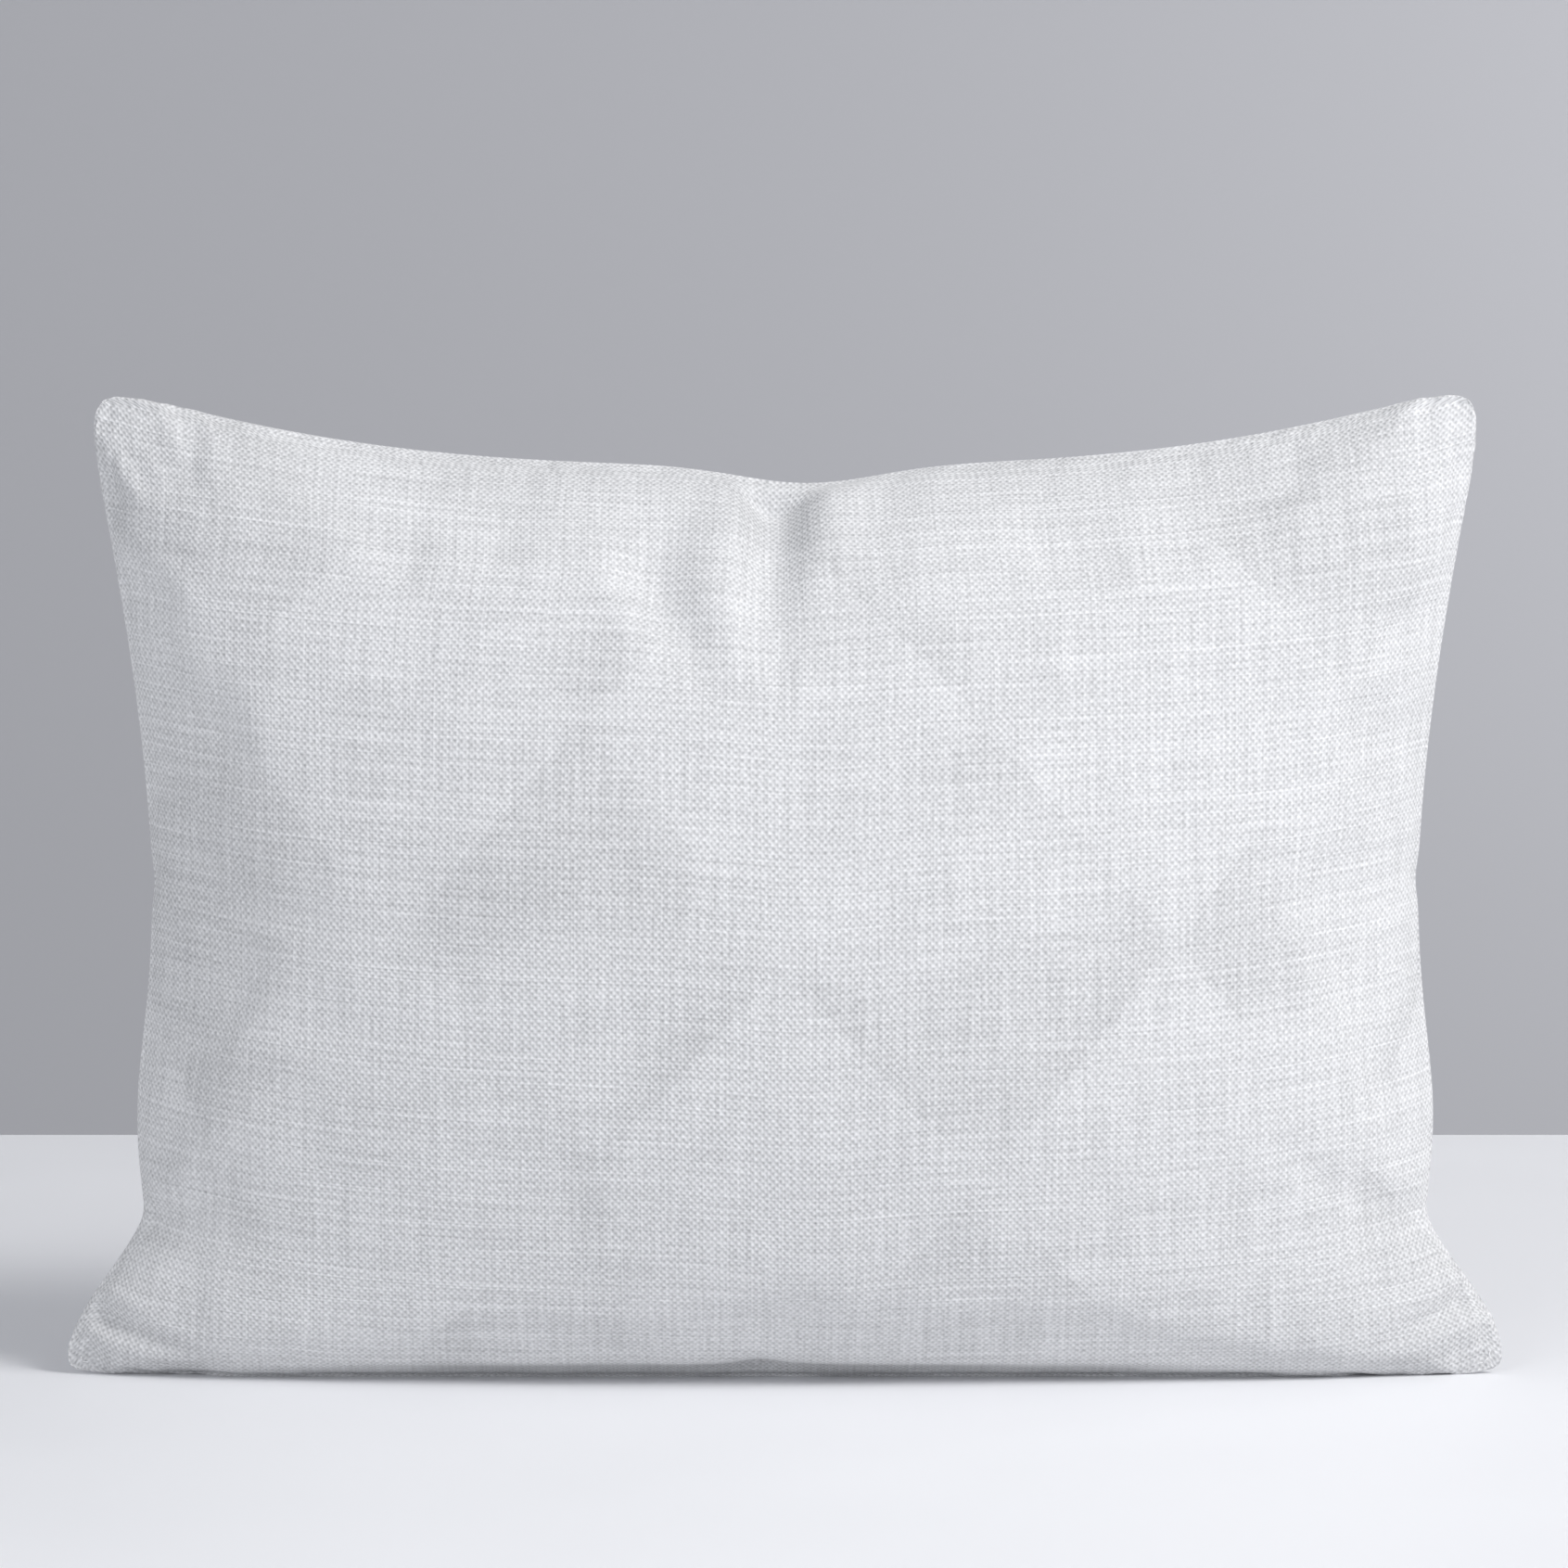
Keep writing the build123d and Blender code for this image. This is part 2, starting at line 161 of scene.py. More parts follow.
def half_width(v, side):
    """Half width of the seam outline at height v. side is -1 on the left and 1 on the right."""
    flare = WAIST + (EAR_TOP - WAIST) * np.clip(v, 0, 1) ** FLARE_CURVE
    settled = BELLY * bell(v - BELLY_V, BELLY_REACH)
    splay = np.sin(np.pi / 2 * np.clip((SPLAY_V - v) / SPLAY_REACH, 0, 1) ** SPLAY_CURVE)
    width = flare + settled + (EAR_BOTTOM - WAIST - settled) * splay
    tug = SIDE_TUG * bell(v - SIDE_TUG_V, SIDE_TUG_REACH)
    return width - tug + LOPSIDED * side


def top_edge(x):
    """Height of the top seam, with the knocked-in notch."""
    arch = TOP_CORNER - TOP_DIP * (1 - np.clip(np.abs(x) / EAR_TOP, 0, 1) ** TOP_CURVE)
    return arch - NOTCH * bell(x - NOTCH_X, NOTCH_REACH)


def bottom_edge(x):
    """Height of the bottom seam before the table presses it flat."""
    return -SINK * (1 - np.clip(np.abs(x) / EAR_BOTTOM, 0, 1) ** BOTTOM_CURVE)


def panel_points(face, inset=0.0, crown=CROWN):
    """Grid of points of one panel: rows go up, columns to +X. face is -1 in front, 1 behind."""
    turn_u = np.linspace(-1, 1, COLUMNS + 1) * np.pi / 2
    turn_v = np.linspace(-1, 1, ROWS + 1) * np.pi / 2
    a, b = np.meshgrid(np.sin(turn_u), np.sin(turn_v))
    cut = np.where(b > 0, EAR_CUT_TOP, EAR_CUT_BOTTOM)
    shrink = 1 - cut * np.abs(a * b) ** (0.5 / cut)
    u, v = a * shrink, b * shrink
    x = u * (half_width(v, np.sign(u)) - inset)
    up = (1 + v) / 2
    z = (top_edge(x) - inset) * up + (bottom_edge(x) + inset) * (1 - up)
    fall = np.clip((1 - a**2) * (1 - b**2), 0, 1)
    y = face * crown * fall**FULLNESS
    return np.dstack([x, y, z]), np.dstack([a, b])


def normals_of(points, face):
    """Outward unit normals of a grid of points."""
    across = np.gradient(points, axis=1)
    upward = np.gradient(points, axis=0)
    normal = np.cross(across, upward) * -face
    length = np.linalg.norm(normal, axis=2, keepdims=True)
    return normal / np.maximum(length, 1e-9)


def crease(x, z, start, end, width, depth, ridge=0.4):
    """A fold that is deepest at start and dies away at end, between two raised flanks."""
    lead = 0.35  # share of its length over which it sets in ahead of start
    start, end = np.array(start), np.array(end)
    along = end - start
    length = np.linalg.norm(along)
    along = along / length
    p = ((x - start[0]) * along[0] + (z - start[1]) * along[1]) / length
    q = (x - start[0]) * -along[1] + (z - start[1]) * along[0]
    width = width * (1 - 0.5 * np.clip(p, 0, 1))
    fade = np.where(p < 0, np.clip(1 + p / lead, 0, 1), np.clip(1 - p, 0, 1) ** 1.3)
    flank = bell(np.abs(q) - 2.1 * width, 1.1 * width)
    return depth * fade * (ridge * flank - bell(q, width))


def dent(x, z, top, bottom, left, right, right_end, depth, ridge=0.0):
    """A lopsided valley along the line from top to bottom.

    left and right are the widths of its walls, and right_end is the right one's at the bottom.
    """
    lead = 0.6  # share of its length over which it sets in above top
    p = np.clip((top[1] - z) / (top[1] - bottom[1]), -lead, 1)
    line = top[0] + (bottom[0] - top[0]) * np.clip(p, 0, 1)
    wall = right + (right_end - right) * np.clip(p, 0, 1)
    q = x - line
    inside = np.where(q < 0, np.clip(1 + q / left, 0, 1), np.clip(1 - q / wall, 0, 1))
    inside = smoothstep(inside)
    fade = np.cos(np.pi / 2 * np.where(p < 0, -p / lead, p)) ** 1.2
    crest = bell(q - 1.25 * wall, 0.55 * wall)
    return fade * (depth * (ridge * crest - inside))


FRONT_DENTS = (
    # top and bottom of the line, left and right wall, right wall at the bottom, depth, ridge
    ((-0.003, 0.328), (-0.004, 0.256), 0.015, 0.021, 0.010, 0.0112, 0.24),
    ((-0.044, 0.284), (-0.020, 0.236), 0.020, 0.022, 0.020, 0.0066, 0.12),
)
BACK_DENTS = (
    ((0.004, 0.330), (0.008, 0.270), 0.020, 0.020, 0.014, 0.0110, 0.15),
    ((0.048, 0.300), (0.040, 0.244), 0.026, 0.022, 0.020, 0.0042, 0.10),
)
FRONT_FOLDS = (
    # start, end, width, depth and, where it isn't the usual one, ridge
    ((0.226, 0.186), (0.180, 0.184), 0.0035, 0.0016),
    ((0.226, 0.180), (0.190, 0.172), 0.003, 0.0010),
    ((-0.224, 0.184), (-0.182, 0.186), 0.0035, 0.0014),
    ((-0.246, 0.024), (-0.196, 0.006), 0.0042, 0.0050, 0.35),
    ((0.247, 0.030), (0.202, 0.010), 0.0045, 0.0045, 0.4),
    ((-0.226, 0.054), (-0.180, 0.078), 0.0060, 0.0025),
    ((0.227, 0.056), (0.184, 0.076), 0.0060, 0.0022),
    ((-0.240, 0.320), (-0.190, 0.270), 0.0080, 0.0018),
    ((0.240, 0.320), (0.200, 0.285), 0.0070, 0.0010),
)
BACK_FOLDS = (
    ((-0.226, 0.184), (-0.170, 0.182), 0.0035, 0.0016),
    ((0.226, 0.186), (0.176, 0.190), 0.0035, 0.0014),
    ((-0.248, 0.026), (-0.206, 0.006), 0.0042, 0.0040),
    ((0.249, 0.026), (0.210, 0.005), 0.0042, 0.0042),
    ((-0.226, 0.054), (-0.176, 0.082), 0.0060, 0.0026),
    ((0.227, 0.056), (0.180, 0.070), 0.0060, 0.0022),
    ((0.238, 0.318), (0.190, 0.262), 0.0080, 0.0020),
)


def lumps(points, scale, seed):
    """Smooth unevenness of the filling, about -1 to 1."""
    flat = points.reshape(-1, 3) / scale + seed
    values = [noise.noise(Vector(p)) for p in flat]
    return np.array(values).reshape(points.shape[:2])


def rest_on(points, floor=0.0):
    """Lifts what is pressed flat at floor, with a soft roll where the cloth leaves it."""
    z = points[..., 2] - floor
    points[..., 2] = floor + CONTACT_SOFTNESS * np.logaddexp(0, z / CONTACT_SOFTNESS)
    return points


def open_valley(points, share, face):
    """Parts the bottom seam into the mouth of the zip's valley."""
    x, y = points[..., 0], points[..., 1]
    lower_part = share[..., 1] < -0.2
    mouth = VALLEY_MOUTH * smoothstep((VALLEY_HALF - np.abs(x)) / VALLEY_TAPER + 0.5) * lower_part
    points[..., 1] = face * np.sqrt(y**2 + mouth**2)
    return points


def hem_points(edge, face):
    """Strip of cloth from the valley's mouth up its wall and back over the fold."""
    wall = ((0, 0.0), (0.0004, 0.0012), (0.0008, 0.0035), (0.0010, 0.0055), (0.0003, 0.0068))
    path = (*wall, (-0.0010, HEM_RISE), (-0.0030, HEM_RISE))  # how far inwards and up
    reach = np.abs(edge[:, 1]) / VALLEY_MOUTH
    rows = []
    for inward, height in path:
        row = edge.copy()
        row[:, 1] -= face * inward * reach
        row[:, 2] += height * reach
        rows.append(row)
    # past the tapes' ends the hems are sewn together, which closes the valley's ends
    past_tapes = smoothstep((np.abs(edge[:, 0]) - TAPE_HIGH.x + TAPE_END) / TAPE_END)
    rows[-1][:, 1] *= 1 - past_tapes
    return np.array(rows)


def arched_floor(points, face):
    """Height to which the underside's outer edges are lifted, most in their middle."""
    x, y = points[..., 0], points[..., 1]
    arch = np.clip(1 - (x / UNDERSIDE_ARCH_HALF) ** 2, 0, 1)
    knock = KNOCK * np.exp(-np.abs((x - KNOCK_X) / KNOCK_REACH))
    clear = UNDERSIDE_GAP
    for ear_x, rise in RESTING_EARS:
        clear = clear * np.clip((x - ear_x) / rise, 0, 1)
    outer = smoothstep((face * y - OUTER_FROM) / OUTER_RISE)
    return (clear + UNDERSIDE_ARCH * arch + knock) * outer


def sculpted(face, inset=0.0, crown=CROWN, floor=0.0):
    """A panel with its lumps and folds, resting on floor, and each point's place in the panel."""
    folds, dents = (FRONT_FOLDS, FRONT_DENTS) if face < 0 else (BACK_FOLDS, BACK_DENTS)
    points, share = panel_points(face, inset, crown)
    normal = normals_of(points, face)
    x, z = points[..., 0], points[..., 2]
    inner = np.clip((1 - share[..., 0] ** 2) * (1 - share[..., 1] ** 2), 0, 1)
    push = sum(height * lumps(points, size, seed * face) for height, size, seed in LUMPS)
    for fold in folds:
        push = push + crease(x, z, *fold)
    push = push * smoothstep(inner / FOLD_MARGIN)
    for valley in dents:
        push = push + dent(x, z, *valley) * smoothstep(inner / DENT_MARGIN)
    points = points + normal * push[..., None]
    return rest_on(points, floor + arched_floor(points, face)), share


def cloth_coordinates(points):
    """Distance along the cloth from the panel's middle, across and up, in metres."""
    across = np.linalg.norm(np.diff(points, axis=1), axis=2)
    across = np.hstack([np.zeros((ROWS + 1, 1)), np.cumsum(across, axis=1)])
    across -= across[:, COLUMNS // 2 : COLUMNS // 2 + 1]
    upward = np.linalg.norm(np.diff(points, axis=0), axis=2)
    upward = np.vstack([np.zeros((1, COLUMNS + 1)), np.cumsum(upward, axis=0)])
    upward -= upward[ROWS // 2 : ROWS // 2 + 1, :]
    return across, upward


# ---- meshes ----------------------------------------------------------------------------------
def sheet_faces(rows, columns, face, first=0):
    """Quads of a grid whose points are numbered from first, facing outwards."""
    index = first + np.arange(rows * columns).reshape(rows, columns)
    corners = [index[:-1, :-1], index[:-1, 1:], index[1:, 1:], index[1:, :-1]]
    if face > 0:
        corners.reverse()
    return np.dstack(corners).reshape(-1, 4).tolist()


def put_in_scene(name, data):
    """A new object that shows the mesh, light or camera."""
    thing = bpy.data.objects.new(name, data)
    bpy.context.scene.collection.objects.link(thing)
    return thing


def new_piece(name, points, faces):
    """A smooth-shaded mesh in the scene."""
    mesh = bpy.data.meshes.new(name)
    mesh.from_pydata(points.reshape(-1, 3).tolist(), [], faces)
    mesh.shade_smooth()
    return put_in_scene(name, mesh)


def store_weave(piece, across, upward):
    """Keeps each point's place on the cloth, which the weave of the material follows."""
    weave = piece.data.attributes.new("weave", "FLOAT_VECTOR", "POINT")
    values = np.dstack([across, upward, np.zeros_like(across)]).astype(np.float32)
    weave.data.foreach_set("vector", values.ravel())


def swollen(front_points, back_points):
    """Both panels after a cloth simulation under pressure, with their shared seam held."""
    count = front_points.shape[0] * front_points.shape[1]
    faces = sheet_faces(*front_points.shape[:2], -1) + sheet_faces(*back_points.shape[:2], 1, count)
    both = np.concatenate([front_points.reshape(-1, 3), back_points.reshape(-1, 3)])
    bag = new_piece("bag", both, faces)
    held = np.zeros((2, *front_points.shape[:2]), bool)
    held[:, [0, -1], :] = True
    held[:, :, [0, -1]] = True
    held[:, 1, :] = True  # also the row above the bottom seam, next to the valley
    seam = bag.vertex_groups.new(name="seam")
    seam.add(np.flatnonzero(held.ravel()).tolist(), 1.0, "REPLACE")
    cloth = bag.modifiers.new("cloth", "CLOTH")
    settings = cloth.settings
    settings.quality = 6
    settings.mass = 0.24
    settings.tension_stiffness = 25
    settings.compression_stiffness = 25
    settings.shear_stiffness = 12
    settings.bending_stiffness = 0.6
    settings.shrink_min = -SWELL_SLACK
    settings.use_pressure = True
    settings.uniform_pressure_force = 4.0
    settings.vertex_group_mass = "seam"
    settings.effector_weights.gravity = 0
    cloth.point_cache.frame_start = 1
    cloth.point_cache.frame_end = SWELL_FRAMES
    for frame_number in range(1, SWELL_FRAMES + 1):
        bpy.context.scene.frame_set(frame_number)
    result = bag.evaluated_get(bpy.context.evaluated_depsgraph_get()).to_mesh()
    moved = np.empty(len(result.vertices) * 3)
    result.vertices.foreach_get("co", moved)
    shift = moved.reshape(-1, 3) - both
    reach = np.linalg.norm(shift, axis=1, keepdims=True)
    shift *= SWELL_CAP * np.tanh(reach / SWELL_CAP) / np.maximum(reach, 1e-9)
    both = both + shift
    bpy.data.objects.remove(bag)
    bpy.context.scene.frame_set(1)
    shape = front_points.shape
    return both[:count].reshape(shape), both[count:].reshape(shape)


def gathers(along, inward, seed):
    """Waves along a seam that die away inwards."""
    waves = [
        [noise.noise(Vector((t / PUCKER_PITCH, d / PUCKER_LENGTH, seed))) for t, d in zip(*rows)]
        for rows in zip(along, inward)
    ]
    return bell(inward, PUCKER_REACH) * np.array(waves)


def seam_puckers(points, share, across, upward, face):
    """Small gathers that run in from the seam, a stitch or two apart."""
    to_side = np.abs(across[:, [-1]]) - np.abs(across)
    to_edge = np.abs(upward[[-1], :]) - np.abs(upward)
    waves = gathers(upward, to_side, face) + gathers(across, to_edge, 9 + face)
    free = np.clip((1 - np.abs(share).max(axis=2)) / PUCKER_FREE, 0, 1)
    return points + normals_of(points, face) * (PUCKER * waves * free)[..., None]


def cover_panel(name, face, points, share):
    """A panel of the cover with its puckers, its side of the zip's valley and its hem."""
    across, upward = cloth_coordinates(points)
    points = seam_puckers(points, share, across, upward, face)
    points = open_valley(points, share, face)
    hem = hem_points(points[0], face)
    count = points.shape[0] * points.shape[1]
    faces = sheet_faces(*points.shape[:2], face) + sheet_faces(*hem.shape[:2], -face, count)
    piece = new_piece(name, np.concatenate([points.reshape(-1, 3), hem.reshape(-1, 3)]), faces)
    rise = np.linalg.norm(np.diff(hem, axis=0), axis=2).cumsum(axis=0)
    rise = np.vstack([np.zeros((1, hem.shape[1])), rise])
    across = np.vstack([across, np.repeat(across[:1], len(hem), axis=0)])
    upward = np.vstack([upward, upward[:1] - rise])
    store_weave(piece, across, upward)
    smooth = piece.modifiers.new("smooth", "SUBSURF")
    smooth.levels = 1
    smooth.render_levels = 1
    return piece


def stitches(name, runs, pitch=SEAM_PITCH, radius=SEAM_THREAD):
    """Rows of lockstitches, each a short thread that dips into the cloth at both its ends."""
    profile = ((0.04, 0.25), (0.2, 0.85), (0.5, 1.0), (0.8, 0.85), (0.96, 0.25))  # place, swell
    sides = 6
    points, faces = [], []
    for path in runs:
        steps = np.linalg.norm(np.diff(path, axis=0), axis=1)
        length = np.concatenate([[0], np.cumsum(steps)])
        ends = np.arange(0, length[-1], pitch)
        places = np.column_stack([np.interp(ends, length, path[:, axis]) for axis in range(3)])
        for start, end in zip(places[:-1], places[1:]):
            along = Vector(end - start)
            if along.length > 2 * pitch:  # a gap in the run
                continue
            frame_x = along.orthogonal().normalized()
            frame_y = along.normalized().cross(frame_x)
            first = len(points)
            for share, swell in profile:
                centre = Vector(start) + along * share
                for side in range(sides):
                    turn = 2 * np.pi * side / sides
                    spoke = frame_x * np.cos(turn) + frame_y * np.sin(turn)
                    points.append(centre + spoke * radius * swell)
            rings = [range(first + r * sides, first + (r + 1) * sides) for r in range(len(profile))]
            for low, high in zip(rings[:-1], rings[1:]):
                for side in range(sides):
                    after = (side + 1) % sides
                    faces.append((low[side], low[after], high[after], high[side]))
            faces.append(tuple(reversed(rings[0])))
            faces.append(tuple(rings[-1]))
    return new_piece(name, np.array(points), faces)


def seam_path(inset, face, stand_off, floor):
    """The line of a seam's stitching, all round a panel, starting and ending in the zip's gap."""
    points, _ = panel_points(face, inset)
    ring = np.concatenate(
        [points[0, COLUMNS // 2 :], points[1:, -1], points[-1, -2::-1], points[-2::-1, 0],
         points[0, 1 : COLUMNS // 2]]
    )
    ring[:, 1] = face * stand_off
    ring[:, 2] = np.maximum(ring[:, 2], floor)
    return ring


# ---- materials -------------------------------------------------------------------------------
LINEN_WARP = 0.00118  # pitch of the threads that run up
LINEN_WEFT = 0.00128  # pitch of the threads that run across
LINEN_LIGHT = (0.76, 0.762, 0.775)
LINEN_DARK = (0.27, 0.272, 0.28)
LINEN_CHECK = 0.10  # how much darker the check's dark diamonds are
DIAMOND = (0.1355, 0.160)
DIAMOND_AT = (0.0007, 0.080)
CLOTH_HALF = (0.22, 0.17)  # about half a panel's width and height, along the cloth
COTTON_PITCH = 0.0005
COTTON_LIGHT = (0.86, 0.86, 0.85)
COTTON_DARK = (0.74, 0.74, 0.73)
TAPE_ZIGZAG = 0.0018
TAPE_RIB = 0.0009
TAPE_DARK = (0.62, 0.62, 0.63)
TAPE_LIGHT = (0.84, 0.84, 0.85)


class Nodes:
    """Short calls for building a node tree."""

    def __init__(self, name):
        self.material = bpy.data.materials.new(name)
        self.material.use_nodes = True
        self.tree = self.material.node_tree
        self.shader = self.tree.nodes["Principled BSDF"]

    def add(self, kind, inputs=(), **settings):
        node = self.tree.nodes.new(kind)
        for key, value in settings.items():
            setattr(node, key, value)
        for key, value in dict(inputs).items():
            if isinstance(value, bpy.types.NodeSocket):
                self.tree.links.new(value, node.inputs[key])
            else:
                node.inputs[key].default_value = value
        return node

    def math(self, operation, a, b=0.0, c=0.0, clamp=False):
        node = self.add("ShaderNodeMath", {0: a, 1: b, 2: c}, operation=operation, use_clamp=clamp)
        return node.outputs[0]

    def ramp(self, value, low, high, start=0.0, end=1.0):
        node = self.add(
            "ShaderNodeMapRange",
            {"Value": value, "From Min": low, "From Max": high, "To Min": start, "To Max": end},
            interpolation_type="SMOOTHSTEP",
        )
        return node.outputs["Result"]

    def noise(self, vector, scale, detail=2.0, roughness=0.5):
        node = self.add(
            "ShaderNodeTexNoise",
            {"Vector": vector, "Scale": scale, "Detail": detail, "Roughness": roughness},
        )
        return node.outputs["Fac"]

    def combine(self, x, y, z=0.0):
        return self.add("ShaderNodeCombineXYZ", {0: x, 1: y, 2: z}).outputs[0]

    def colour(self, factor, a, b):
        node = self.add("ShaderNodeMix", {0: factor, 6: (*a, 1), 7: (*b, 1)}, data_type="RGBA")
        return node.outputs[2]


def diamond_check(n, weave, s, t):
    """Faint tone-on-tone diamonds that come and go, 1 where the cloth is darker."""
    p = n.math("DIVIDE", n.math("SUBTRACT", s, DIAMOND_AT[0]), DIAMOND[0])
    q = n.math("DIVIDE", n.math("SUBTRACT", t, DIAMOND_AT[1]), DIAMOND[1])
    one = n.math("SINE", n.math("MULTIPLY", n.math("ADD", n.math("ADD", p, q), 0.5), np.pi))
    two = n.math("SINE", n.math("MULTIPLY", n.math("ADD", n.math("SUBTRACT", p, q), 0.5), np.pi))
    check = n.ramp(n.math("MULTIPLY", one, two), -0.03, 0.03)
    patches = n.ramp(n.noise(weave, 11.0, 1.0), 0.42, 0.62)
    return n.math("MULTIPLY", n.math("SUBTRACT", 1.0, check), patches)


def woven(name, warp, weft, light, dark, slub=1.0, check=0.0, relief=0.00022):
    """Plain weave of uneven threads, with slubs and, on the cover, a diamond check."""
    n = Nodes(name)
    weave = n.add("ShaderNodeAttribute", attribute_name="weave").outputs["Vector"]
    split = n.add("ShaderNodeSeparateXYZ", {0: weave})
    s, t = split.outputs[0], split.outputs[1]

    # threads wander a little sideways along their length
    sway_s = n.math("MULTIPLY_ADD", n.noise(n.combine(s, t), 90.0), 0.7 * warp, -0.35 * warp)
    sway_t = n.math("MULTIPLY_ADD", n.noise(n.combine(t, s, 0.3), 90.0), 0.7 * weft, -0.35 * weft)
    s_thread = n.math("DIVIDE", n.math("ADD", s, sway_s), warp)
    t_thread = n.math("DIVIDE", n.math("ADD", t, sway_t), weft)

    # threads are round across, and each rises over every second one that it crosses
    warp_across = n.math("SINE", n.math("MULTIPLY", s_thread, 2 * np.pi))
    weft_across = n.math("SINE", n.math("MULTIPLY", t_thread, 2 * np.pi))
    half_s = n.math("SINE", n.math("MULTIPLY", s_thread, np.pi))
    half_t = n.math("SINE", n.math("MULTIPLY", t_thread, np.pi))
    crossing = n.math("MULTIPLY", half_s, half_t)
    pile = n.math("MULTIPLY_ADD", warp_across, 0.14, n.math("MULTIPLY", weft_across, 0.18))
    pile = n.math("MULTIPLY_ADD", crossing, 0.80, pile)

    def streaks(along, across, length, width, low, high):
        """Noise drawn out along the threads, from 0 at low to 1 at high."""
        long_way = n.math("DIVIDE", along, length)
        short_way = n.math("DIVIDE", across, width)
        return n.ramp(n.noise(n.combine(long_way, short_way), 1.0, 1.0), low, high)

    # slubs: single threads that swell for a few centimetres, fainter in the panel's middle
    slubs_across = streaks(s, t, 0.200, 0.0015, 0.52, 0.72)
    slubs_up = n.math("MULTIPLY", streaks(t, s, 0.060, 0.0018, 0.56, 0.80), 0.6)
    slubs = n.math("MAXIMUM", slubs_across, slubs_up)
    far_across = n.math("DIVIDE", n.math("ABSOLUTE", s), CLOTH_HALF[0])
    far_up = n.math("DIVIDE", n.math("ABSOLUTE", t), CLOTH_HALF[1])
    off_centre = n.math("MAXIMUM", far_across, far_up)
    slubs = n.math("MULTIPLY", slubs, n.ramp(off_centre, 0.3, 0.9, 0.45, 1.0))

    # yarn by yarn variation of tone
    weft_tone = streaks(s, t, 0.04, 0.0014, 0.0, 1.0)
    warp_tone = streaks(t, s, 0.04, 0.0014, 0.0, 1.0)
    yarn = n.math("ADD", weft_tone, warp_tone)

    tone = n.math("MULTIPLY_ADD", pile, 0.28, 0.60)
    tone = n.math("MULTIPLY_ADD", slubs, 0.13 * slub, tone)
    tone = n.math("MULTIPLY_ADD", yarn, 0.26, n.math("SUBTRACT", tone, 0.26))
    fuzz = n.noise(weave, 650.0, 1.0)
    tone = n.math("MULTIPLY_ADD", fuzz, 0.62, n.math("SUBTRACT", tone, 0.27))
    if check:
        tone = n.math("MULTIPLY_ADD", diamond_check(n, weave, s, t), -check, tone, clamp=True)
    colour = n.colour(tone, dark, light)

    height = n.math("MULTIPLY_ADD", slubs, 0.8 * slub, pile)
    height = n.math("MULTIPLY_ADD", yarn, 0.4, height)
    bump = n.add("ShaderNodeBump", {"Strength": 0.55, "Distance": relief, "Height": height})
    n.tree.links.new(colour, n.shader.inputs["Base Color"])
    n.tree.links.new(bump.outputs[0], n.shader.inputs["Normal"])
    n.shader.inputs["Roughness"].default_value = 0.9
    n.shader.inputs["Sheen Weight"].default_value = 0.25
    n.shader.inputs["Sheen Roughness"].default_value = 0.5
    n.shader.inputs["Specular IOR Level"].default_value = 0.25
    return n.material


def grained(name, colour, roughness, stretch, variation=0.08, relief=0.0001, sheen=0.0):
    """A colour broken up by fine grain. stretch is the grain's size along X, Y and Z."""
    n = Nodes(name)
    place = n.add("ShaderNodeTexCoord").outputs["Object"]
    scaled = n.add("ShaderNodeVectorMath", {0: place, 1: stretch}, operation="DIVIDE").outputs[0]
    grain = n.noise(scaled, 1.0, 3.0)
    dark = tuple(channel * (1 - variation) for channel in colour)
    light = tuple(min(1.0, channel * (1 + variation)) for channel in colour)
    n.tree.links.new(n.colour(grain, dark, light), n.shader.inputs["Base Color"])
    rough = n.ramp(grain, 0.2, 0.8, roughness - 0.06, roughness + 0.06)
    n.tree.links.new(rough, n.shader.inputs["Roughness"])
    bump = n.add("ShaderNodeBump", {"Strength": 0.5, "Distance": relief, "Height": grain})
    n.tree.links.new(bump.outputs[0], n.shader.inputs["Normal"])
    n.shader.inputs["Sheen Weight"].default_value = sheen
    return n.material


def tape_weave():
    """Herringbone of the zip's tapes, whose fine ribs run along X."""
    n = Nodes("zip_tape")
    place = n.add("ShaderNodeSeparateXYZ", {0: n.add("ShaderNodeTexCoord").outputs["Object"]})
    x, y = place.outputs[0], place.outputs[1]
    zigzag = n.math("PINGPONG", n.math("DIVIDE", y, TAPE_ZIGZAG), 1.0)
    turns = n.math("ADD", n.math("DIVIDE", x, TAPE_RIB), zigzag)
    ribs = n.math("SINE", n.math("MULTIPLY", turns, 2 * np.pi))
    tone = n.math("MULTIPLY_ADD", ribs, 0.3, 0.6)
    n.tree.links.new(n.colour(tone, TAPE_DARK, TAPE_LIGHT), n.shader.inputs["Base Color"])
    bump = n.add("ShaderNodeBump", {"Strength": 0.5, "Distance": 0.0001, "Height": ribs})
    n.tree.links.new(bump.outputs[0], n.shader.inputs["Normal"])
    n.shader.inputs["Roughness"].default_value = 0.8
    return n.material


# ---- cover -----------------------------------------------------------------------------------
def dress(piece, node, material):
    """The piece takes the place of a CAD node, with that finish."""
    piece.data.materials.append(material)
    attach(piece, "cover")
    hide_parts(node)


linen = woven("cover_linen", LINEN_WARP, LINEN_WEFT, LINEN_LIGHT, LINEN_DARK, check=LINEN_CHECK)
front_points, front_share = sculpted(-1)
back_points, back_share = sculpted(1)
front_points, back_points = swollen(front_points, back_points)
front = cover_panel("cover_front", -1, front_points, front_share)
back = cover_panel("cover_back", 1, back_points, back_share)
for piece in (front, back):
    dress(piece, piece.name + "_panel", linen)

